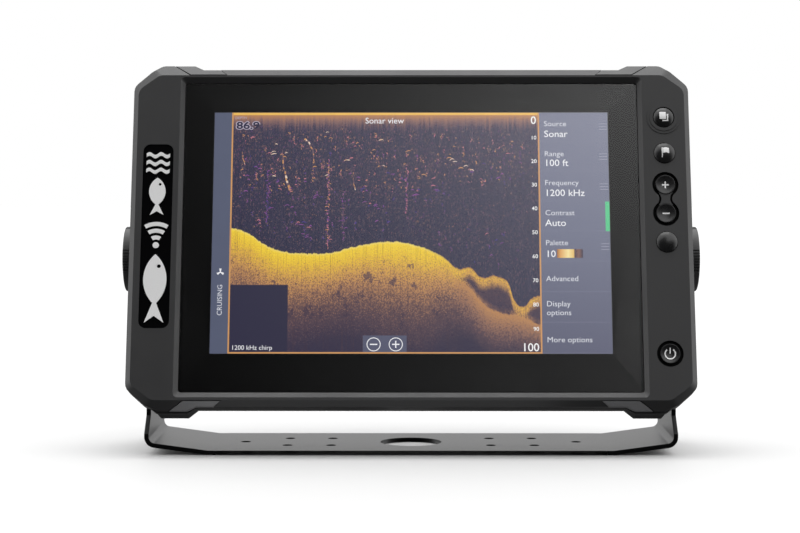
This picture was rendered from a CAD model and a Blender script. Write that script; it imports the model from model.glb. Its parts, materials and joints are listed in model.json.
import json
import math
import random

import bmesh
import bpy
from mathutils import Matrix, Vector


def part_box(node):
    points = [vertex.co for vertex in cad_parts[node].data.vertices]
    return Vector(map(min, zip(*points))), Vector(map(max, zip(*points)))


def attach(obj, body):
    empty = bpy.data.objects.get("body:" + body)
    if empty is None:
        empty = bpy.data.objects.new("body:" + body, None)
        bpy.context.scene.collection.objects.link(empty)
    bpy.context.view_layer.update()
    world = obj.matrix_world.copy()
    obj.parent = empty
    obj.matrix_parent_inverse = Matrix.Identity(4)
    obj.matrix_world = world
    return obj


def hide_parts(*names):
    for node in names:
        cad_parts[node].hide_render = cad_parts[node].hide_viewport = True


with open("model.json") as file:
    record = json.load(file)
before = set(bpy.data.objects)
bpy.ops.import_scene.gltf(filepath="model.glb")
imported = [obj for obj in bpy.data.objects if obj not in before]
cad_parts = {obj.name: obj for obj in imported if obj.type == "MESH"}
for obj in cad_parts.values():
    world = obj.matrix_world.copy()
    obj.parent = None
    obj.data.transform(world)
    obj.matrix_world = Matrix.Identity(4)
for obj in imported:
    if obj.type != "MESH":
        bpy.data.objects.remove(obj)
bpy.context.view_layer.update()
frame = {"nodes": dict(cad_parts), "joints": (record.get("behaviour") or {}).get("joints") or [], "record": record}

MM = 0.001
random.seed(7)

# ---------------------------------------------------------------- frame of the screen

joints = {joint["name"]: joint for joint in frame["joints"]}
BACK = Vector(joints["pages_press"]["axis"]).normalized()     # from the screen's face into the head
UP = Vector((0, -BACK.z, BACK.y))                             # up along the screen
PANEL_T = 4 * MM
SCREEN_W = 217 * MM
SCREEN_H = 135.6 * MM
panel_low, panel_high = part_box("lcd_panel")
CENTRE = (panel_low + panel_high) / 2 - BACK * PANEL_T / 2    # middle of the lit area, on its face
KEY_X = 139                     # middle of the key column, to the right of the screen's middle
FACE_Y = -4                     # front of the bezel, in the screen frame


def head_point(x, y, z):
    """Point of the head in millimetres (right, back, up from the screen's middle), in the shared frame."""
    return CENTRE + Vector((x, 0, 0)) * MM + BACK * y * MM + UP * z * MM


# ---------------------------------------------------------------- camera

CAMERA_AT = Vector((-1.3, -1134.7, 158.2)) * MM
CAMERA_DOWN = math.radians(2.92)
CAMERA_YAW = math.radians(-0.243)
LENS = 92.07
SENSOR_W = 36
camera = bpy.data.objects.new("camera", bpy.data.cameras.new("camera"))
bpy.context.scene.collection.objects.link(camera)
look = Vector((math.sin(CAMERA_YAW) * math.cos(CAMERA_DOWN), math.cos(CAMERA_YAW) * math.cos(CAMERA_DOWN),
               -math.sin(CAMERA_DOWN)))
camera.location = CAMERA_AT
camera.rotation_euler = look.to_track_quat("-Z", "Y").to_euler()
camera.data.lens = LENS
camera.data.sensor_width = SENSOR_W
camera.data.dof.use_dof = False
bpy.context.scene.camera = camera
bpy.context.scene.view_settings.view_transform = "Standard"


# ---------------------------------------------------------------- node helpers

class Tree:
    """Short ways to build a node tree."""

    def __init__(self, tree):
        self.tree = tree

    def node(self, kind, **settings):
        made = self.tree.nodes.new(kind)
        for key, value in settings.items():
            setattr(made, key, value)
        return made

    def plug(self, socket, value):
        if isinstance(value, bpy.types.NodeSocket):
            self.tree.links.new(value, socket)
        else:
            socket.default_value = value

    def math(self, operation, a, b=0.0, c=0.0, clamp=False):
        made = self.node("ShaderNodeMath", operation=operation, use_clamp=clamp)
        for socket, value in zip(made.inputs, (a, b, c)):
            self.plug(socket, value)
        return made.outputs[0]

    def step(self, value, low, high):
        """0 below low, 1 above high, smooth between."""
        made = self.node("ShaderNodeMapRange", interpolation_type="SMOOTHSTEP")
        self.plug(made.inputs["Value"], value)
        made.inputs["From Min"].default_value = low
        made.inputs["From Max"].default_value = high
        return made.outputs[0]

    def mapped(self, value, low, high, to_low, to_high):
        made = self.node("ShaderNodeMapRange")
        self.plug(made.inputs["Value"], value)
        for name, number in (("From Min", low), ("From Max", high), ("To Min", to_low), ("To Max", to_high)):
            made.inputs[name].default_value = number
        return made.outputs[0]

    def blend(self, factor, a, b, kind="MIX"):
        made = self.node("ShaderNodeMix", data_type="RGBA", blend_type=kind)
        self.plug(made.inputs[0], factor)
        self.plug(made.inputs[6], a)
        self.plug(made.inputs[7], b)
        return made.outputs[2]

    def ramp(self, factor, stops):
        made = self.node("ShaderNodeValToRGB")
        self.plug(made.inputs[0], factor)
        elements = made.color_ramp.elements
        while len(elements) < len(stops):
            elements.new(0.5)
        for element, (place, colour) in zip(elements, stops):
            element.position = place
            element.color = colour
        return made.outputs[0]

    def noise(self, vector, scale, detail=2.0, roughness=0.5):
        made = self.node("ShaderNodeTexNoise")
        self.plug(made.inputs["Vector"], vector)
        made.inputs["Scale"].default_value = scale
        made.inputs["Detail"].default_value = detail
        made.inputs["Roughness"].default_value = roughness
        return made.outputs[0]

    def grains(self, vector, x, y):
        """A random number, 0 to 1, for each cell of a grid of x by y cells."""
        cell = self.node("ShaderNodeVectorMath", operation="FLOOR")
        self.plug(cell.inputs[0], self.stretched(vector, x, y, 1))
        made = self.node("ShaderNodeTexWhiteNoise")
        self.plug(made.inputs["Vector"], cell.outputs[0])
        return made.outputs["Value"]

    def stretched(self, vector, x, y, z):
        made = self.node("ShaderNodeMapping")
        self.plug(made.inputs["Vector"], vector)
        made.inputs["Scale"].default_value = (x, y, z)
        return made.outputs[0]

    def place(self):
        return self.node("ShaderNodeTexCoord").outputs["Object"]


def srgb(red, green, blue):
    """Colour as it shows on a screen, 0 to 255, turned into the linear values that shaders use."""
    def linear(value):
        value /= 255
        return value / 12.92 if value <= 0.04045 else ((value + 0.055) / 1.055) ** 2.4
    return (linear(red), linear(green), linear(blue), 1.0)


def new_material(name):
    """Material with one Principled shader: gives (material, tree helper, shader)."""
    material = bpy.data.materials.new(name)
    material.use_nodes = True
    tree = Tree(material.node_tree)
    return material, tree, material.node_tree.nodes["Principled BSDF"]


def tinted(colour, factor):
    return tuple(min(1.0, part * factor) for part in colour[:3]) + (1.0,)


def bumped(tree, shader, height, strength, distance):
    bump = tree.node("ShaderNodeBump")
    bump.inputs["Strength"].default_value = strength
    bump.inputs["Distance"].default_value = distance
    tree.plug(bump.inputs["Height"], height)
    tree.plug(shader.inputs["Normal"], bump.outputs[0])


def glow_only(tree, shader, colour):
    """Turns off the shader's own surface, so that only the colour's light is seen."""
    shader.inputs["Base Color"].default_value = (0, 0, 0, 1)
    shader.inputs["Specular IOR Level"].default_value = 0.0
    shader.inputs["Emission Strength"].default_value = 1.0
    tree.plug(shader.inputs["Emission Color"], colour)


# ---------------------------------------------------------------- materials

MOAT_HALF_W = 7.9               # half the width of the widest moat, with its soft edge
MOAT_LOW_Z = -78                # ends of the key column, from the screen's middle
MOAT_HIGH_Z = 73


def key_recess(tree):
    """1 below the bezel's face around the keys, in their holes and moats, and 0 elsewhere."""
    from_screen = tree.node("ShaderNodeVectorMath", operation="SUBTRACT")
    tree.plug(from_screen.inputs[0], tree.place())
    from_screen.inputs[1].default_value = CENTRE
    ways = []
    for way in (Vector((1, 0, 0)), BACK, UP):
        along = tree.node("ShaderNodeVectorMath", operation="DOT_PRODUCT")
        tree.plug(along.inputs[0], from_screen.outputs[0])
        along.inputs[1].default_value = way
        ways.append(along.outputs["Value"])
    beside, inward, up = ways
    beside = tree.math("ABSOLUTE", tree.math("SUBTRACT", beside, KEY_X * MM))
    deep = tree.math("MULTIPLY", tree.step(inward, (FACE_Y + 0.25) * MM, (FACE_Y + 0.7) * MM),
                     tree.step(inward, 1.2 * MM, 0.8 * MM))
    column = tree.math("MULTIPLY", tree.step(up, MOAT_LOW_Z * MM, (MOAT_LOW_Z + 1) * MM),
                       tree.step(up, MOAT_HIGH_Z * MM, (MOAT_HIGH_Z - 1) * MM))
    near = tree.step(beside, MOAT_HALF_W * MM, (MOAT_HALF_W - 0.3) * MM)
    return tree.math("MULTIPLY", tree.math("MULTIPLY", deep, column), near)


def moulded(name, colour, roughness=0.5, grain=0.35, grain_mm=0.45, specular=0.5, cloud=0.1, low_colour=None,
            recessed=False):
    """Moulded plastic: a spark-eroded grain, faint clouding and slightly uneven gloss.

    With a low colour, pieces below the middle of the head are moulded in that one. With recessed,
    the key moats are dark and dull.
    """
    material, tree, shader = new_material(name)
    place = tree.place()
    fine = tree.noise(place, 1000 / grain_mm, 3.0, 0.6)
    coarse = tree.noise(place, 40, 4.0, 0.6)
    shade = tree.math("MULTIPLY_ADD", fine, 0.35, tree.math("MULTIPLY", coarse, 0.65))
    paint = tree.blend(shade, tinted(colour, 1 - 2 * cloud), tinted(colour, 1 + 2 * cloud))
    if low_colour:
        split = tree.node("ShaderNodeSeparateXYZ")
        tree.plug(split.inputs[0], place)
        low = tree.blend(shade, tinted(low_colour, 1 - 2 * cloud), tinted(low_colour, 1 + 2 * cloud))
        paint = tree.blend(tree.step(split.outputs["Z"], 90 * MM, 80 * MM), paint, low)
    if recessed:
        dark = key_recess(tree)
        paint = tree.blend(dark, paint, tinted(colour, 0.1))
        tree.plug(shader.inputs["Specular IOR Level"], tree.mapped(dark, 0, 1, specular, 0.04))
    else:
        shader.inputs["Specular IOR Level"].default_value = specular
    tree.plug(shader.inputs["Base Color"], paint)
    tree.plug(shader.inputs["Roughness"], tree.mapped(shade, 0.3, 0.7, roughness - 0.07, roughness + 0.07))
    bumped(tree, shader, fine, grain, 0.02 * MM)
    return material


def coated_steel(name, colour):
    """Powder-coated steel: orange peel over fine pits, with a thinner and darker coat on the cut edges."""
    material, tree, shader = new_material(name)
    place = tree.place()
    peel = tree.noise(place, 900, 3.0, 0.55)
    pits = tree.noise(place, 3200, 2.0, 0.6)
    height = tree.math("MULTIPLY_ADD", pits, 0.35, peel)
    split = tree.node("ShaderNodeSeparateXYZ")
    tree.plug(split.inputs[0], tree.node("ShaderNodeNewGeometry").outputs["Normal"])
    cut_edge = tree.step(tree.math("ABSOLUTE", split.outputs["Y"]), 0.55, 0.8)
    coat = tree.blend(tree.noise(place, 60, 4.0), tinted(colour, 0.85), tinted(colour, 1.2))
    tree.plug(shader.inputs["Base Color"], tree.blend(cut_edge, coat, tinted(colour, 0.3)))
    tree.plug(shader.inputs["Specular IOR Level"], tree.mapped(cut_edge, 0, 1, 0.5, 0.1))
    tree.plug(shader.inputs["Roughness"], tree.mapped(pits, 0.3, 0.7, 0.34, 0.48))
    bumped(tree, shader, height, 0.3, 0.03 * MM)
    return material


def metal(name, colour, roughness=0.3, brushed=(1, 1, 1), grain=0.2):
    """Bare metal: fine tool marks, stretched along one direction where it is brushed."""
    material, tree, shader = new_material(name)
    place = tree.stretched(tree.place(), *brushed)
    marks = tree.noise(place, 2500, 4.0, 0.65)
    cloud = tree.noise(place, 90, 3.0, 0.6)
    shader.inputs["Metallic"].default_value = 1.0
    tree.plug(shader.inputs["Base Color"], tree.blend(cloud, tinted(colour, 0.86), tinted(colour, 1.08)))
    tree.plug(shader.inputs["Roughness"], tree.mapped(marks, 0.3, 0.7, roughness - 0.09, roughness + 0.12))
    bumped(tree, shader, marks, grain, 0.01 * MM)
    return material


def rubber(name, colour):
    material, tree, shader = new_material(name)
    place = tree.place()
    dust = tree.noise(place, 300, 5.0, 0.7)
    tree.plug(shader.inputs["Base Color"], tree.blend(dust, tinted(colour, 0.7), tinted(colour, 1.5)))
    tree.plug(shader.inputs["Roughness"], tree.mapped(dust, 0.3, 0.7, 0.7, 0.9))
    bumped(tree, shader, dust, 0.2, 0.04 * MM)
    return material


def clear_glass(name):
    """Cover glass: clear, with faint wiping marks in its gloss."""
    material, tree, shader = new_material(name)
    place = tree.place()
    wipe = tree.noise(tree.stretched(place, 1, 1, 0.35), 70, 4.0, 0.6)
    shader.inputs["Base Color"].default_value = (1, 1, 1, 1)
    shader.inputs["Transmission Weight"].default_value = 1.0
    shader.inputs["IOR"].default_value = 1.5
    tree.plug(shader.inputs["Roughness"], tree.mapped(wipe, 0.45, 0.8, 0.0, 0.006))
    return material


def printed(name, colour, roughness=0.25, specular=0.5):
    """Printed ink or film: smooth, with a faint dither in its tone."""
    material, tree, shader = new_material(name)
    place = tree.place()
    dither = tree.noise(place, 4000, 2.0, 0.6)
    tree.plug(shader.inputs["Base Color"], tree.blend(dither, tinted(colour, 0.9), tinted(colour, 1.1)))
    tree.plug(shader.inputs["Roughness"], tree.mapped(dither, 0.3, 0.7, roughness, roughness + 0.1))
    shader.inputs["Specular IOR Level"].default_value = specular
    bumped(tree, shader, dither, 0.05, 0.01 * MM)
    return material


def circuit_board(name):
    """Solder mask with copper tracks showing through as lighter lines."""
    material, tree, shader = new_material(name)
    place = tree.place()
    cells = tree.node("ShaderNodeTexVoronoi", distance="MANHATTAN", feature="DISTANCE_TO_EDGE")
    tree.plug(cells.inputs["Vector"], place)
    cells.inputs["Scale"].default_value = 260
    track = tree.step(cells.outputs[0], 0.02, 0.07)
    tree.plug(shader.inputs["Base Color"], tree.blend(track, (0.03, 0.2, 0.08, 1), (0.006, 0.06, 0.024, 1)))
    tree.plug(shader.inputs["Roughness"], tree.mapped(track, 0, 1, 0.3, 0.42))
    bumped(tree, shader, track, 0.2, 0.03 * MM)
    return material


def glowing(name, colour, waver):
    """Part of the lit picture in one tone, with a slight unevenness of the backlight."""
    material, tree, shader = new_material(name)
    place = tree.place()
    uneven = tree.noise(place, 120, 3.0, 0.6)
    shader.inputs["Roughness"].default_value = 0.5
    glow_only(tree, shader, tree.blend(uneven, tinted(colour, 1 - waver), tinted(colour, 1 + waver)))
    return material


def screen_place(tree):
    """Sockets that run from 0 to 1 over the lit area: from left to right, and from top to bottom."""
    split = tree.node("ShaderNodeSeparateXYZ")
    tree.plug(split.inputs[0], tree.place())
    across = tree.mapped(split.outputs["X"], -SCREEN_W / 2, SCREEN_W / 2, 0, 1)
    top = CENTRE.z + UP.z * SCREEN_H / 2
    down = tree.mapped(split.outputs["Z"], top, top - UP.z * SCREEN_H, 0, 1)
    return across, down


# Lit picture: places are shares of its width from the left and of its height from the top
SIDE_BAR = 0.044
MENU_AT = 0.826
BOTTOM = [(0, 0.485), (0.05, 0.503), (0.11, 0.552), (0.15, 0.577), (0.23, 0.591), (0.33, 0.587),
          (0.40, 0.564), (0.52, 0.543), (0.61, 0.562), (0.68, 0.60), (0.74, 0.655), (0.77, 0.648),
          (0.81, 0.69), (0.85, 0.683), (0.89, 0.705), (0.915, 0.79), (0.94, 0.81), (0.97, 0.775), (1, 0.762)]
RIDGE = [(0, 0.5), (0.68, 0.6), (0.72, 0.68), (0.77, 0.73), (0.81, 0.79), (0.86, 0.83), (0.92, 0.845),
         (1, 0.885)]


def curve_over(tree, value, points):
    """Height of a smooth curve through the points."""
    made = tree.node("ShaderNodeFloatCurve")
    curve = made.mapping.curves[0]
    while len(curve.points) < len(points):
        curve.points.new(0.5, 0.5)
    for point, place in zip(curve.points, points):
        point.location = place
        point.handle_type = "AUTO"
    made.mapping.update()
    tree.plug(made.inputs["Value"], value)
    return made.outputs[0]


def sonar_picture(name):
    """Water column with streaks and clutter over a bright bottom that fades into speckle."""
    material, tree, shader = new_material(name)
    across, down = screen_place(tree)
    along = tree.mapped(across, SIDE_BAR, MENU_AT, 0, 1)
    joined = tree.node("ShaderNodeCombineXYZ")
    tree.plug(joined.inputs[0], along)
    tree.plug(joined.inputs[1], down)
    place = joined.outputs[0]

    # water: columns of faint streaks, lighter to the right, darker low on the left
    columns = tree.noise(tree.stretched(place, 300, 5, 1), 1.0, 3.0, 0.7)
    grain = tree.noise(tree.stretched(place, 420, 190, 1), 1.0, 2.0, 0.7)
    tone = tree.math("MULTIPLY_ADD", along, 0.45, tree.math("MULTIPLY", down, -0.5))
    water = tree.ramp(tree.mapped(tone, -0.5, 0.45, 0, 1), [
        (0.0, srgb(41, 41, 63)), (0.45, srgb(48, 48, 71)), (1.0, srgb(55, 55, 79))])
    streak = tree.math("ADD", tree.math("MULTIPLY", columns, 0.55), tree.math("MULTIPLY", grain, 0.45))
    water = tree.blend(tree.step(streak, 0.36, 0.64), tree.blend(0.3, water, srgb(34, 33, 55)),
                       tree.blend(0.16, water, srgb(104, 98, 126)))
    spots = tree.grains(place, 300, 150)
    water = tree.blend(tree.math("MULTIPLY", tree.step(spots, 0.8, 1.0), 0.22), water, srgb(150, 122, 124))

    # clutter: warm and violet flecks, thicker near the surface
    flecks = tree.noise(tree.stretched(place, 260, 80, 1), 1.0, 2.0, 0.8)
    crowd = tree.noise(tree.stretched(place, 14, 7, 1), 1.0, 2.0, 0.6)
    thick = tree.mapped(down, 0.05, 0.6, 0.055, 0.0)
    level = tree.math("ADD", tree.math("ADD", flecks, tree.math("MULTIPLY", crowd, 0.16)), thick)
    tint = tree.ramp(tree.noise(tree.stretched(place, 40, 40, 1), 1.0), [
        (0.38, srgb(112, 70, 130)), (0.5, srgb(170, 105, 120)), (0.62, srgb(205, 150, 110))])
    water = tree.blend(tree.math("MULTIPLY", tree.step(level, 0.7, 0.82), 0.7), water, tint)

    # surface clutter: a bright line, then a band that thins out in columns
    ragged = tree.noise(tree.stretched(place, 110, 3, 1), 1.0, 3.0, 0.7)
    reach = tree.math("ADD", tree.mapped(ragged, 0.3, 0.7, 0.045, 0.1),
                      tree.math("MULTIPLY_ADD", grain, 0.05, -0.025))
    share = tree.math("DIVIDE", down, reach)
    band = tree.ramp(share, [
        (0.0, srgb(226, 176, 92)), (0.12, srgb(190, 134, 88)), (0.45, srgb(142, 106, 98)),
        (1.0, srgb(88, 72, 92))])
    water = tree.blend(tree.step(share, 1.3, 0.3), water, band)

    # bottom: depth below a curve that small noise roughens
    rough = tree.noise(tree.stretched(place, 90, 20, 1), 1.0, 4.0, 0.65)
    rough = tree.math("MULTIPLY_ADD", rough, 0.022, -0.011)
    floor = tree.math("ADD", curve_over(tree, along, BOTTOM), rough)
    below = tree.math("SUBTRACT", down, floor)
    ridge = tree.math("SUBTRACT", down, tree.math("ADD", curve_over(tree, along, RIDGE), rough))
    speckle = tree.noise(tree.stretched(place, 300, 170, 1), 1.0, 3.0, 0.8)
    grit = tree.math("MULTIPLY_ADD", tree.grains(place, 400, 230), 0.8, tree.math("MULTIPLY", grain, 0.2))
    columns_low = tree.noise(tree.stretched(place, 260, 1.5, 1), 1.0, 2.0, 0.7)
    blotch = tree.noise(tree.stretched(place, 26, 15, 1), 1.0, 4.0, 0.65)
    stretch = curve_over(tree, along, [
        (0, 0.86), (0.19, 0.72), (0.35, 0.66), (0.55, 0.84), (0.75, 0.62), (0.9, 0.5), (1, 0.42)])
    depth = tree.math("DIVIDE", below, stretch)
    jitter = tree.math("MULTIPLY_ADD", speckle, 0.42, tree.math("MULTIPLY_ADD", columns_low, 0.08,
                       tree.math("MULTIPLY_ADD", blotch, 0.07, -0.275)))
    dimmer = tree.math("MULTIPLY", tree.step(along, 0.6, 0.8), 0.1)
    tone = tree.math("ADD", tree.math("ADD", depth, jitter), dimmer)
    ground = tree.ramp(tone, [
        (0.0, srgb(246, 214, 66)), (0.07, srgb(234, 194, 58)), (0.13, srgb(216, 166, 80)),
        (0.2, srgb(194, 142, 92)), (0.28, srgb(158, 116, 92)), (0.4, srgb(112, 86, 88)),
        (0.55, srgb(56, 52, 74))])
    lines = tree.step(columns_low, 0.56, 0.62)
    ground = tree.blend(tree.math("MULTIPLY", lines, 0.3), ground, srgb(96, 64, 56))
    # hollows in the bottom, and the trough between its face and the ridge behind
    hollow = tree.math("MULTIPLY", tree.step(blotch, 0.585, 0.63), tree.step(below, 0.05, 0.09))
    ground = tree.blend(tree.math("MULTIPLY", hollow, 0.75), ground, srgb(84, 66, 78))
    trough = tree.math("MULTIPLY", tree.step(below, 0.022, 0.06), tree.step(ridge, 0.0, -0.025))
    trough = tree.math("MULTIPLY", trough, tree.step(along, 0.66, 0.74))
    ground = tree.blend(tree.math("MULTIPLY", trough, 0.92), ground,
                        tree.blend(tree.step(speckle, 0.5, 0.74), srgb(56, 50, 76), srgb(138, 98, 88)))
    beyond = tree.math("MULTIPLY", tree.step(along, 0.68, 0.78), tree.step(ridge, -0.004, 0.006))
    fall = tree.math("ADD", tree.math("MULTIPLY", ridge, tree.mapped(along, 0.7, 1, 1.9, 3.4)), jitter)
    slope = tree.ramp(fall, [
        (0.0, srgb(190, 138, 88)), (0.1, srgb(168, 122, 90)), (0.2, srgb(146, 108, 92)),
        (0.34, srgb(112, 86, 88)), (0.5, srgb(56, 52, 74))])
    ground = tree.blend(beyond, ground, slope)
    crest = tree.blend(tree.step(along, 0.58, 0.76), srgb(244, 220, 116), srgb(178, 128, 82))
    ground = tree.blend(tree.math("MULTIPLY", tree.step(below, 0.011, 0.0), 0.85), ground, crest)
    # dark grains, few near the top of the bottom and more the deeper it is
    sunk = tree.blend(beyond, tree.blend(trough, tone, (0.27, 0.27, 0.27, 1)), fall)
    few = tree.mapped(sunk, 0.02, 0.38, 0.03, 0.76)
    dark_grain = tree.step(tree.math("SUBTRACT", few, grit), -0.1, 0.1)
    ground = tree.blend(tree.math("MULTIPLY", dark_grain, tree.mapped(sunk, 0.05, 0.3, 0.35, 0.62)), ground,
                        srgb(56, 49, 70))
    picture = tree.blend(tree.step(below, -0.003, 0.003), water, ground)

    # patch at the lower left where nothing is recorded
    patch = tree.math("MULTIPLY", tree.step(along, 0.191, 0.188), tree.step(down, 0.718, 0.722))
    picture = tree.blend(patch, picture, srgb(50, 48, 70))

    glow_only(tree, shader, picture)
    return material


def menu_panel(name):
    """Menu at the right: a grey-blue that darkens downwards, with hair lines between its rows."""
    material, tree, shader = new_material(name)
    _, down = screen_place(tree)
    tone = tree.ramp(down, [(0.0, srgb(122, 125, 146)), (0.5, srgb(112, 116, 138)), (1.0, srgb(96, 98, 120))])
    row = tree.math("FRACT", tree.math("MULTIPLY_ADD", down, 8.0, 0.03))
    line = tree.math("MULTIPLY", tree.step(row, 0.03, 0.0), 0.35)
    tone = tree.blend(line, tone, srgb(150, 152, 172))
    tone = tree.blend(tree.math("MULTIPLY", tree.noise(tree.place(), 900, 2.0), 0.12), tone, srgb(70, 72, 92))
    glow_only(tree, shader, tone)
    return material


MATERIALS = {
    "bracket_paint": coated_steel("bracket_paint", srgb(29, 29, 30)),
    "ratchet_plastic": moulded("ratchet_plastic", srgb(40, 40, 41), 0.5),
    "case_plastic": moulded("case_plastic", srgb(44, 44, 45), 0.44, 0.6, 0.6, recessed=True),
    "clip_plastic": moulded("clip_plastic", srgb(52, 52, 53), 0.42, 0.6, 0.6, low_colour=srgb(128, 128, 130)),
    "cover_glass": clear_glass("cover_glass"),
    "glass_ink": printed("glass_ink", srgb(9, 9, 10), 0.3, 0.0),
    "screen": printed("screen", srgb(30, 30, 36), 0.3),
    "stainless": metal("stainless", (0.6, 0.6, 0.62), 0.3),
    "seal_rubber": rubber("seal_rubber", srgb(22, 22, 22)),
    "cast_aluminium": metal("cast_aluminium", (0.66, 0.67, 0.69), 0.45, grain=0.4),
    "board_green": circuit_board("board_green"),
    "chip_black": moulded("chip_black", srgb(34, 34, 36), 0.45, 0.2, 0.2),
    "brass": metal("brass", (0.8, 0.58, 0.25), 0.25),
    "antenna_ceramic": moulded("antenna_ceramic", srgb(214, 206, 190), 0.6, 0.3, 0.3),
    "ribbon_film": printed("ribbon_film", srgb(196, 128, 52), 0.3),
    "key_plastic": moulded("key_plastic", srgb(26, 26, 27), 0.24, 0.04, 0.6),
    "emblem_white": printed("emblem_white", srgb(232, 232, 232), 0.35),
    "socket_plastic": moulded("socket_plastic", srgb(32, 32, 33), 0.42, 0.25),
    "label_film": printed("label_film", srgb(196, 198, 200), 0.35),
    "washer_nylon": moulded("washer_nylon", srgb(222, 219, 210), 0.5, 0.2),
    "knob_plastic": moulded("knob_plastic", srgb(60, 60, 61), 0.46, 0.2),
}

slot_of = {part["node"]: part["material_slot"] for part in frame["record"]["subparts"]}
body_of = {node: body for body, nodes in frame["record"]["behaviour"]["bodies"].items() for node in nodes}
for node, thing in frame["nodes"].items():
    for holder in thing.material_slots:
        holder.material = MATERIALS[slot_of[node]]


# ---------------------------------------------------------------- softened pieces

ARM_JOIN = 106 * MM             # where the bracket's base and arms meet, to the left and right
SAME_PLACE = 0.03 * MM          # corners nearer than this are one
CROWDED = 40                    # a face with more corners than this is cut into triangles, or it shows gaps
SHARP_EDGE = math.radians(24)   # an edge that turns by more than this is rounded


def flat_shaded_mesh(name, nodes):
    """The nodes' meshes as one new mesh of whole flat faces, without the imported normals."""
    made = bpy.data.meshes.new(name)
    work = bmesh.new()
    for node in nodes:
        work.from_mesh(frame["nodes"][node].data)
    bmesh.ops.remove_doubles(work, verts=work.verts, dist=SAME_PLACE)
    if len(nodes) > 1:
        joins = [face for face in work.faces
                 if all(abs(abs(corner.co.x) - ARM_JOIN) < 0.01 * MM for corner in face.verts)]
        bmesh.ops.delete(work, geom=joins, context="FACES_ONLY")
    bmesh.ops.dissolve_degenerate(work, dist=0.01 * MM, edges=work.edges)
    bmesh.ops.dissolve_limit(work, angle_limit=math.radians(0.5), verts=work.verts, edges=work.edges,
                             use_dissolve_boundaries=False, delimit=set())
    crowded = [face for face in work.faces if len(face.verts) > CROWDED]
    bmesh.ops.triangulate(work, faces=crowded, quad_method="BEAUTY", ngon_method="BEAUTY")
    work.to_mesh(made)
    work.free()
    for packed in ("custom_normal", "sharp_edge", "sharp_face"):
        if packed in made.attributes:
            made.attributes.remove(made.attributes[packed])
    made.shade_smooth()
    return made


def softened(name, nodes, radius_mm):
    """Piece that stands for CAD nodes of one body and finish, with its edges rounded to the radius."""
    piece = bpy.data.objects.new(name + "_finish", flat_shaded_mesh(name + "_soft", nodes))
    bpy.context.scene.collection.objects.link(piece)
    rounding = piece.modifiers.new("rounding", "BEVEL")
    rounding.width = radius_mm * MM
    rounding.segments = 2
    rounding.limit_method = "ANGLE"
    rounding.angle_limit = SHARP_EDGE
    rounding.use_clamp_overlap = True
    rounding.miter_outer = "MITER_ARC"
    normals = piece.modifiers.new("normals", "WEIGHTED_NORMAL")
    normals.weight = 80
    piece.data.materials.clear()
    piece.data.materials.append(MATERIALS[slot_of[nodes[0]]])
    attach(piece, body_of[nodes[0]])
    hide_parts(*nodes)


softened("bracket", ["bracket_base", "bracket_arms"], 0.25)
SOFTENED = {"front_bezel": 0.5, "rear_housing": 0.8, "corner_clips": 0.35, "left_knob": 0.35,
            "right_knob": 0.35, "card_door": 0.3, "power_socket": 0.4, "sonar_socket": 0.4,
            "network_socket": 0.4, "backbone_socket": 0.4, "pressure_vent": 0.3, "pages_key": 0.25,
            "waypoint_key": 0.25, "quick_key": 0.25, "zoom_in_key": 0.3, "zoom_out_key": 0.3,
            "power_key": 0.3, "case_screws": 0.2}
for node, radius in SOFTENED.items():
    softened(node, [node], radius)


# ---------------------------------------------------------------- flat marks on a face

CAPITAL_SHARE = 0.729           # height of the font's capitals for a size of 1


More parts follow.
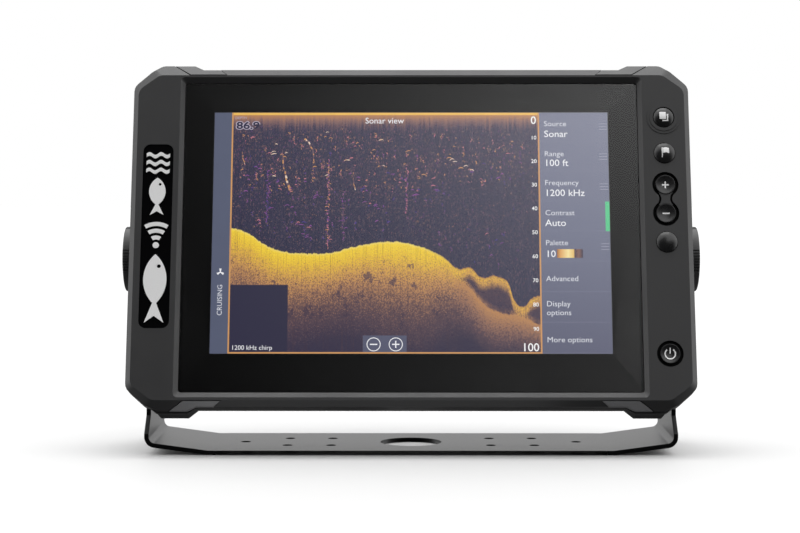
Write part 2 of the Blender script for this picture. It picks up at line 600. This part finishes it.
class Marks:
    """Flat shapes of one material, drawn in head millimetres and laid at a depth."""

    def __init__(self, name, depth, material, body="head", slot="screen"):
        self.name, self.material, self.body, self.slot = name, material, body, slot
        self.depth = depth if callable(depth) else (lambda x, z: depth)
        self.work = bmesh.new()

    def polygon(self, points):
        corners = [self.work.verts.new((x, 0, z)) for x, z in points]
        if len(corners) > 2:
            self.work.faces.new(corners)

    def box(self, x0, z0, x1, z1):
        self.polygon([(x0, z0), (x1, z0), (x1, z1), (x0, z1)])

    def band(self, points, width):
        """Strip of a width along a path; width may be a function of the share along it."""
        wide = width if callable(width) else (lambda share: width)
        left, right = [], []
        for i, (x, z) in enumerate(points):
            before, after = points[max(i - 1, 0)], points[min(i + 1, len(points) - 1)]
            direction = Vector((after[0] - before[0], after[1] - before[1])).normalized()
            half = wide(i / (len(points) - 1)) / 2
            left.append((x - direction.y * half, z + direction.x * half))
            right.append((x + direction.y * half, z - direction.x * half))
        for i in range(len(points) - 1):
            self.polygon([right[i], right[i + 1], left[i + 1], left[i]])

    def ring(self, x, z, outer, inner, start=0.0, end=360.0, steps=40):
        path = [math.radians(start + (end - start) * i / steps) for i in range(steps + 1)]
        middle = (outer + inner) / 2
        self.band([(x + middle * math.cos(a), z + middle * math.sin(a)) for a in path], outer - inner)

    def text(self, words, x, z, height, align="LEFT", turn=0.0, bold=0.0, wide=1.0):
        """Words of a capital height, from a point on their base line."""
        curve = bpy.data.curves.new("words", "FONT")
        curve.body = words
        curve.align_x = align
        curve.size = height / CAPITAL_SHARE
        curve.offset = bold
        curve.resolution_u = 3
        thing = bpy.data.objects.new("words", curve)
        bpy.context.scene.collection.objects.link(thing)
        shape = bpy.data.meshes.new_from_object(thing.evaluated_get(bpy.context.evaluated_depsgraph_get()))
        shape.transform(Matrix.Translation((x, 0, z)) @ Matrix.Rotation(math.radians(turn), 4, (0, -1, 0))
                        @ Matrix.Rotation(math.radians(90), 4, "X") @ Matrix.Diagonal((wide, 1, 1, 1)))
        self.work.from_mesh(shape)
        bpy.data.objects.remove(thing)
        bpy.data.curves.remove(curve)
        bpy.data.meshes.remove(shape)

    def done(self, cell=None):
        """Makes the piece. With a cell size, its faces are cut finer first, to follow a curved face."""
        if cell:
            bmesh.ops.triangulate(self.work, faces=self.work.faces)
            for _ in range(4):
                long_edges = [edge for edge in self.work.edges if edge.calc_length() > cell]
                if long_edges:
                    bmesh.ops.subdivide_edges(self.work, edges=long_edges, cuts=1)
                    bmesh.ops.triangulate(self.work, faces=self.work.faces)
        for vert in self.work.verts:
            x, z = vert.co.x, vert.co.z
            vert.co = head_point(x, self.depth(x, z), z)
        for face in self.work.faces:
            face.normal_update()
            if face.normal.dot(BACK) > 0:
                face.normal_flip()
        mesh = bpy.data.meshes.new(self.name)
        self.work.to_mesh(mesh)
        self.work.free()
        mesh.materials.append(self.material)
        piece = bpy.data.objects.new(self.name, mesh)
        bpy.context.scene.collection.objects.link(piece)
        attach(piece, self.body)


def screen_x(across):
    return (across - 0.5) * SCREEN_W / MM


def screen_z(down):
    return (0.5 - down) * SCREEN_H / MM


# ---------------------------------------------------------------- lit picture

PICTURE_Y = -0.03
LINES_Y = -0.06
TEXT_Y = -0.09
FRONT_Y = -0.12

sonar = Marks("sonar_picture", PICTURE_Y, sonar_picture("sonar_picture"))
sonar.box(screen_x(SIDE_BAR), screen_z(1), screen_x(MENU_AT), screen_z(0))
sonar.done()
bar = Marks("side_bar", PICTURE_Y, glowing("side_bar", srgb(88, 94, 116), waver=0.05))
bar.box(screen_x(0), screen_z(1), screen_x(SIDE_BAR), screen_z(0))
bar.done()
menu = Marks("menu_panel", PICTURE_Y, menu_panel("menu_panel"))
menu.box(screen_x(MENU_AT), screen_z(1), screen_x(1), screen_z(0))
menu.done()

lines = Marks("picture_frame", FRONT_Y, glowing("picture_frame", srgb(206, 152, 98), waver=0.12))
top_line = Marks("picture_top_line", FRONT_Y, glowing("picture_top_line", srgb(238, 190, 92), waver=0.12))
LINE = 0.85
for x in (screen_x(SIDE_BAR) + LINE / 2, screen_x(MENU_AT) - LINE / 2):
    lines.box(x - LINE / 2, screen_z(1), x + LINE / 2, screen_z(0))
lines.box(screen_x(SIDE_BAR) + LINE, screen_z(1), screen_x(MENU_AT) - LINE, screen_z(1) + LINE)
top_line.box(screen_x(SIDE_BAR) + LINE, screen_z(0) - 1.4, screen_x(MENU_AT) - LINE, screen_z(0) - 0.3)
lines.done()
top_line.done()

# depth scale, largest at both ends
numbers = Marks("depth_numbers", TEXT_Y, glowing("depth_numbers", srgb(245, 245, 245), waver=0.02))
scale_x = screen_x(MENU_AT) - 1.6
for depth in range(0, 101, 10):
    down = {0: 0.031, 100: 0.973}.get(depth, 0.0065 + depth * 0.00992)
    height = 4.6 if depth in (0, 100) else 2.3
    numbers.text(str(depth), scale_x, screen_z(down) - height / 2, height, "RIGHT", bold=0.012 * height)
numbers.done()

# menu rows
MENU_ROWS = [("Source", "Sonar", 0.047, 0.0895), ("Range", "100 ft", 0.174, 0.212),
             ("Frequency", "1200 kHz", 0.296, 0.338), ("Contrast", "Auto", 0.4216, 0.463),
             ("Palette", "10", 0.546, 0.5915)]
MENU_WORDS = [("Advanced", 0.694), ("Display", 0.797), ("options", 0.833), ("More options", 0.943)]
words = Marks("menu_words", TEXT_Y, glowing("menu_words", srgb(218, 220, 228), waver=0.02))
values = Marks("menu_values", TEXT_Y, glowing("menu_values", srgb(240, 240, 244), waver=0.02))
for label, value, label_at, value_at in MENU_ROWS:
    words.text(label, screen_x(MENU_AT) + 2.5, screen_z(label_at) - 1.45, 3.1, wide=1.05)
    values.text(value, screen_x(MENU_AT) + 2.5, screen_z(value_at) - 1.9, 3.9, bold=0.02, wide=1.05)
for label, label_at in MENU_WORDS:
    words.text(label, screen_x(MENU_AT) + 2.5, screen_z(label_at) - 1.45, 3.1, wide=1.05)
words.text("CRUISING", screen_x(0.028), screen_z(0.846), 2.8, turn=90)
words.done()
grips = Marks("menu_grips", TEXT_Y, glowing("menu_grips", srgb(158, 160, 178), waver=0.02))
GRAB_ROWS = [0.0596, 0.1866, 0.3128, 0.5624]
for down in GRAB_ROWS:
    for shift in (-1.6, 0, 1.6):
        z = screen_z(down) + shift
        grips.box(screen_x(0.977), z - 0.16, screen_x(0.997), z + 0.16)
grips.done()

values.text("Sonar view", screen_x(0.4325), screen_z(0.035) - 1.5, 3.5, "CENTER", bold=0.01)
values.text("1200 kHz chirp", screen_x(0.053), screen_z(0.975) - 1.3, 2.6)
# propeller mark on the side bar
PROPELLER = (screen_x(0.0225), screen_z(0.668))
for turn in (90, 210, 330):
    angle = math.radians(turn)
    tip = (PROPELLER[0] + 2.0 * math.cos(angle), PROPELLER[1] + 2.0 * math.sin(angle))
    values.band([PROPELLER, tip], lambda share: 0.5 + 1.3 * share * (1.6 - share))
# zoom signs at the bottom
for across, upright in ((0.407, False), (0.462, True)):
    x, z = screen_x(across), screen_z(0.9625)
    values.ring(x, z, 3.8, 3.35)
    values.box(x - 2.0, z - 0.33, x + 2.0, z + 0.33)
    if upright:
        values.box(x - 0.33, z - 2.0, x + 0.33, z + 2.0)
values.done()

zoom_box = Marks("zoom_box", LINES_Y, glowing("zoom_box", srgb(88, 90, 112), waver=0.1))
zoom_box.box(screen_x(0.38), screen_z(0.997), screen_x(0.489), screen_z(0.9265))
zoom_box.done()

reading = Marks("depth_reading", TEXT_Y, glowing("depth_reading", srgb(40, 38, 66), waver=0.02))
reading.text("86.9", screen_x(0.085), screen_z(0.054) - 2.0, 4.2, "CENTER", bold=0.14, wide=1.3)
reading.done()
halo = Marks("depth_reading_edge", LINES_Y, glowing("depth_reading_edge", srgb(182, 172, 190), waver=0.02))
halo.text("86.9", screen_x(0.085), screen_z(0.054) - 2.0, 4.2, "CENTER", bold=0.5, wide=1.3)
halo.text("DEPTH", screen_x(0.052), screen_z(0.022) - 0.7, 1.5)
halo.done()

green = Marks("scroll_mark", TEXT_Y, glowing("scroll_mark", srgb(86, 200, 140), waver=0.04))
green.box(screen_x(0.9895), screen_z(0.4985), screen_x(1), screen_z(0.3755))
green.done()


def palette_strip(name):
    """Sample of the picture's colours: amber to pale, then dark with one warmer band."""
    material, tree, shader = new_material(name)
    across, _ = screen_place(tree)
    tone = tree.ramp(tree.mapped(across, 0.865, 0.93, 0, 1), [
        (0.0, srgb(150, 92, 58)), (0.15, srgb(222, 164, 92)), (0.45, srgb(246, 226, 160)),
        (0.66, srgb(232, 190, 112)), (0.7, srgb(76, 58, 72)), (0.85, srgb(128, 92, 84)),
        (1.0, srgb(62, 52, 72))])
    glow_only(tree, shader, tone)
    return material


palette_bar = Marks("palette_palette_bar", TEXT_Y, palette_strip("palette_palette_bar"))
palette_bar.box(screen_x(0.866), screen_z(0.609), screen_x(0.931), screen_z(0.573))
palette_bar.done()

# echoes: small arched marks, most of them high in the water, in a few tones
ECHO_TONES = {"echo_violet": srgb(136, 78, 148), "echo_rose": srgb(206, 128, 138),
              "echo_amber": srgb(206, 150, 96), "echo_pale": srgb(236, 210, 188),
              "echo_dusk": srgb(112, 88, 98), "echo_blue": srgb(78, 64, 140)}
echoes = {name: Marks(name, LINES_Y, glowing(name, tone, waver=0.2))
          for name, tone in ECHO_TONES.items()}


def bottom_at(along):
    """Height of the bottom line at a share along the picture, by straight lines."""
    for (x0, y0), (x1, y1) in zip(BOTTOM, BOTTOM[1:]):
        if x0 <= along <= x1:
            return y0 + (y1 - y0) * (along - x0) / (x1 - x0)
    return BOTTOM[-1][1]


def picture_x(along):
    return screen_x(SIDE_BAR + along * (MENU_AT - SIDE_BAR))


def echo(name, along, down, length, rise, lean, thickness):
    steps = 6
    path = []
    for i in range(steps + 1):
        share = i / steps - 0.5
        x = picture_x(along) + share * length
        path.append((x, screen_z(down) + rise * (1 - 4 * share * share) + lean * share * length))
    echoes[name].band(path, lambda share: thickness * (0.25 + 3 * share * (1 - share)))


def scatter(count, low, high, names):
    for _ in range(count):
        along = random.uniform(0.02, 0.93)
        down = random.uniform(low, high)
        if down > bottom_at(along) - 0.02:
            continue
        for _ in range(random.choice((1, 1, 2, 3))):
            echo(random.choice(names), along + random.uniform(-0.012, 0.012),
                 down + random.uniform(-0.012, 0.012), random.uniform(1.0, 3.2), random.uniform(0.2, 0.8),
                 random.uniform(-0.15, 0.45), random.uniform(0.3, 0.6))


def smudge(along, down, size, tones):
    """Loose cluster of short strokes, most of them upright."""
    for _ in range(random.randint(3, 7)):
        x = picture_x(along) + random.gauss(0, size * 0.35)
        z = screen_z(down) + random.gauss(0, size * 1.3)
        angle = random.gauss(math.pi / 2, 0.7)
        reach = random.uniform(0.3, 1.1)
        path = [(x, z), (x + reach * math.cos(angle) * 0.6, z + reach * math.sin(angle) * 0.6),
                (x + reach * math.cos(angle + 0.5), z + reach * math.sin(angle + 0.5))]
        echoes[random.choice(tones)].band(path, random.uniform(0.18, 0.36))


scatter(34, 0.09, 0.3, ["echo_amber", "echo_pale", "echo_rose", "echo_dusk"])
scatter(46, 0.2, 0.62, ["echo_violet", "echo_rose", "echo_violet", "echo_blue"])
for _ in range(150):
    along, down = random.uniform(0.02, 0.95), random.uniform(0.09, 0.34)
    smudge(along, down, random.uniform(0.5, 1.3), ["echo_dusk", "echo_dusk", "echo_rose", "echo_amber"])
for _ in range(150):
    along, down = random.uniform(0.02, 0.95), random.uniform(0.16, 0.66)
    if down < bottom_at(along) - 0.03:
        smudge(along, down, random.uniform(0.4, 1.1), ["echo_violet", "echo_blue", "echo_dusk", "echo_dusk"])
for along, top, low, tones in ((0.315, 0.2, 0.57, ["echo_violet", "echo_rose", "echo_amber", "echo_dusk"]),
                               (0.365, 0.34, 0.54, ["echo_violet", "echo_dusk"]),
                               (0.57, 0.24, 0.45, ["echo_violet", "echo_rose", "echo_dusk"]),
                               (0.12, 0.25, 0.48, ["echo_violet", "echo_dusk", "echo_blue"])):
    down = top
    while down < low:
        smudge(along + random.uniform(-0.004, 0.004), down, 0.5, tones)
        if random.random() < 0.4:
            echo(random.choice(tones), along + random.uniform(-0.01, 0.01), down, random.uniform(1.0, 2.6),
                 random.uniform(0.1, 0.5), random.uniform(-0.1, 0.3), random.uniform(0.2, 0.36))
        down += random.uniform(0.008, 0.018)


TRAIL_STEPS = 9                 # strokes between two points of a trail


def trail(points, thickness):
    """Fish that rises or sinks: a rough curve through picture places, brighter towards its thick end."""
    steps = TRAIL_STEPS * (len(points) - 1)
    for i in range(steps):
        part, within = divmod(i, TRAIL_STEPS)
        (x0, y0), (x1, y1) = points[part], points[part + 1]
        share = within / TRAIL_STEPS
        ease = share * share * (3 - 2 * share)
        x = picture_x(x0 + (x1 - x0) * ease) + random.uniform(-0.12, 0.12)
        z = screen_z(y0 + (y1 - y0) * share)
        along = i / steps
        tone = random.choice(["echo_dusk", "echo_dusk", "echo_amber"] if along < 0.6 else
                             ["echo_amber", "echo_amber", "echo_pale", "echo_dusk"])
        reach = SCREEN_H / MM * abs(y1 - y0) / TRAIL_STEPS * 1.2 + 0.2
        next_x = x + (picture_x(x1) - picture_x(x0)) / TRAIL_STEPS
        echoes[tone].band([(x, z), (next_x, z - math.copysign(reach, y1 - y0))],
                          thickness * (0.35 + 0.65 * along) * random.uniform(0.6, 1.1))


trail([(0.166, 0.16), (0.169, 0.22), (0.178, 0.27), (0.19, 0.325)], 1.3)
trail([(0.268, 0.215), (0.266, 0.17), (0.255, 0.135), (0.24, 0.112)], 1.25)
trail([(0.035, 0.16), (0.037, 0.19), (0.044, 0.215)], 0.5)
trail([(0.395, 0.25), (0.397, 0.29), (0.402, 0.325)], 0.5)
for marks in echoes.values():
    marks.done()


# ---------------------------------------------------------------- marks on the keys

MARK_CELL = 0.7                 # a key mark's faces are cut this fine, to follow the key
DOME_RIM = FACE_Y - 0.5
DOME_HEIGHT = 1.9
DOME_R = (5.65 ** 2 + DOME_HEIGHT ** 2) / (2 * DOME_HEIGHT)
DISH_RIM = FACE_Y - 0.25
DISH_DEPTH = 1.0
DISH_HALF = 4.95
DISH_R = (DISH_HALF ** 2 + DISH_DEPTH ** 2) / (2 * DISH_DEPTH)
LIFT = 0.05                     # how far a mark stands off its key


def on_dome(z0):
    """Depth of the domed key's crown around a height."""
    def depth(x, z):
        away = (x - KEY_X) ** 2 + (z - z0) ** 2
        return DOME_RIM - DOME_HEIGHT + DOME_R - math.sqrt(DOME_R ** 2 - away) - LIFT
    return depth


def in_dish(z0):
    """Depth of the dished key's hollow around a height."""
    def depth(x, z):
        away = (x - KEY_X) ** 2 + (z - z0) ** 2
        return DISH_RIM + DISH_DEPTH - DISH_R + math.sqrt(DISH_R ** 2 - away) - LIFT
    return depth


MARK_WHITE = printed("key_mark_white", srgb(236, 236, 236), 0.35)


def key_mark(name, z0, depth):
    return Marks(name, depth(z0), MARK_WHITE, body=name.replace("_mark", "_key"), slot="key_plastic")


PAGES_Z, WAYPOINT_Z, ZOOM_IN_Z, ZOOM_OUT_Z, POWER_Z = 63.8, 43.5, 25.6, 9.5, -68.4
pages = key_mark("pages_mark", PAGES_Z, on_dome)
pages.box(KEY_X - 2.4, PAGES_Z - 1.4, KEY_X + 1.1, PAGES_Z + 2.7)
pages.polygon([(KEY_X - 0.9, PAGES_Z - 1.9), (KEY_X - 0.9, PAGES_Z - 2.6), (KEY_X + 2.4, PAGES_Z - 2.6),
               (KEY_X + 2.4, PAGES_Z - 1.9)])
pages.polygon([(KEY_X + 1.6, PAGES_Z - 1.9), (KEY_X + 2.4, PAGES_Z - 1.9), (KEY_X + 2.4, PAGES_Z + 1.5),
               (KEY_X + 1.6, PAGES_Z + 1.5)])
pages.done(cell=MARK_CELL)

flag = key_mark("waypoint_mark", WAYPOINT_Z, on_dome)
flag.box(KEY_X - 1.75, WAYPOINT_Z - 2.9, KEY_X - 1.2, WAYPOINT_Z + 2.7)
flag.polygon([(KEY_X - 1.0, WAYPOINT_Z + 2.5), (KEY_X - 1.0, WAYPOINT_Z - 0.6),
              (KEY_X + 0.6, WAYPOINT_Z - 0.2), (KEY_X + 2.3, WAYPOINT_Z - 0.7),
              (KEY_X + 2.3, WAYPOINT_Z + 2.3), (KEY_X + 0.6, WAYPOINT_Z + 2.8)])
flag.done(cell=MARK_CELL)

plus = key_mark("zoom_in_mark", ZOOM_IN_Z, in_dish)
plus.box(KEY_X - 1.9, ZOOM_IN_Z - 0.38, KEY_X + 1.9, ZOOM_IN_Z + 0.38)
plus.box(KEY_X - 0.38, ZOOM_IN_Z + 0.38, KEY_X + 0.38, ZOOM_IN_Z + 1.9)
plus.box(KEY_X - 0.38, ZOOM_IN_Z - 1.9, KEY_X + 0.38, ZOOM_IN_Z - 0.38)
plus.done(cell=MARK_CELL)

minus = key_mark("zoom_out_mark", ZOOM_OUT_Z, in_dish)
minus.box(KEY_X - 1.9, ZOOM_OUT_Z - 0.38, KEY_X + 1.9, ZOOM_OUT_Z + 0.38)
minus.done(cell=MARK_CELL)

power = key_mark("power_mark", POWER_Z, in_dish)
power.ring(KEY_X, POWER_Z, 3.1, 2.45, 125, 415)
power.box(KEY_X - 0.33, POWER_Z + 0.2, KEY_X + 0.33, POWER_Z + 3.3)
power.done(cell=MARK_CELL)

# ---------------------------------------------------------------- studio

GLOW = 1.85                     # strength of the glow
FRONT_DARK = 0.06
TOP_EXTRA = 0.9
SIDE_EXTRA = 0.8
LOW_LEVEL = 0.2


def world_light():
    """White studio at the back, sides and top; dark in front, with a soft glow up to the right."""
    world = bpy.data.worlds.new("studio")
    world.use_nodes = True
    bpy.context.scene.world = world
    tree = Tree(world.node_tree)
    split = tree.node("ShaderNodeSeparateXYZ")
    tree.plug(split.inputs[0], tree.node("ShaderNodeTexCoord").outputs["Generated"])
    x, y, z = split.outputs
    front = tree.step(y, -0.3, -0.7)
    glow_x = tree.mapped(x, -0.105, 0.105, 0.33, 0.94)
    glow_z = tree.mapped(z, 0.432, 0.557, 0.5, 1.0)
    glow = tree.math("MULTIPLY", tree.math("POWER", tree.math("MULTIPLY", glow_x, glow_z), 2.0), GLOW)
    ahead = tree.math("MULTIPLY_ADD", tree.step(z, 0.15, 0.4), glow,
                      tree.math("MULTIPLY", tree.step(z, 0.4, 0.2), FRONT_DARK))
    above = tree.math("MULTIPLY", tree.step(z, 0.2, 0.85), TOP_EXTRA)
    aside = tree.math("MULTIPLY", tree.step(tree.math("ABSOLUTE", x), 0.55, 0.95), SIDE_EXTRA)
    under = tree.mapped(z, -0.45, -0.08, LOW_LEVEL, 1.0)
    around = tree.math("MULTIPLY", under, tree.math("ADD", 1.0, tree.math("ADD", above, aside)))
    mix = tree.node("ShaderNodeMix", data_type="FLOAT")
    tree.plug(mix.inputs[0], front)
    tree.plug(mix.inputs[2], around)
    tree.plug(mix.inputs[3], ahead)
    tree.plug(world.node_tree.nodes["Background"].inputs["Strength"], mix.outputs[0])
    world.node_tree.nodes["Background"].inputs["Color"].default_value = (1, 1, 1, 1)


def area_light(name, place, target, size, power, depth=None):
    light = bpy.data.lights.new(name, "AREA")
    light.energy = power
    light.size = size
    if depth:
        light.shape = "RECTANGLE"
        light.size_y = depth
    thing = bpy.data.objects.new(name, light)
    thing.location = place
    thing.rotation_euler = (Vector(target) - Vector(place)).to_track_quat("-Z", "Y").to_euler()
    thing.visible_camera = False
    bpy.context.scene.collection.objects.link(thing)


world_light()
area_light("overhead", (0.0, 0.3, 1.6), (0, 0, 0.1), 1.2, 9)
area_light("low_front", (-0.02, -0.085, 0.001), (-0.02, -0.06, 0.5), 0.2, 0.016, 0.06)

floor_mesh = bpy.data.meshes.new("studio_floor")
FLOOR_R = 6.0
floor_corners = [(-FLOOR_R, -FLOOR_R, 0), (FLOOR_R, -FLOOR_R, 0), (FLOOR_R, FLOOR_R, 0),
                 (-FLOOR_R, FLOOR_R, 0)]
floor_mesh.from_pydata(floor_corners, [], [(0, 1, 2, 3)])
floor_material, floor_tree, floor_shader = new_material("studio_floor")
floor_place = floor_tree.place()
away = floor_tree.node("ShaderNodeVectorMath", operation="LENGTH")
floor_tree.plug(away.inputs[0], floor_place)
fade = floor_tree.step(away.outputs["Value"], 0.25, 0.9)
floor_shader.inputs["Roughness"].default_value = 0.6
floor_shader.inputs["Specular IOR Level"].default_value = 0.1
floor_tree.plug(floor_shader.inputs["Base Color"],
                floor_tree.blend(fade, (0.61, 0.61, 0.61, 1), (0, 0, 0, 1)))
floor_tree.plug(floor_shader.inputs["Emission Color"],
                floor_tree.blend(fade, (0, 0, 0, 1), (1, 1, 1, 1)))
floor_shader.inputs["Emission Strength"].default_value = 1.0
floor_mesh.materials.append(floor_material)
studio_floor = bpy.data.objects.new("studio_floor", floor_mesh)
studio_floor.visible_diffuse = False
studio_floor.visible_glossy = False
bpy.context.scene.collection.objects.link(studio_floor)
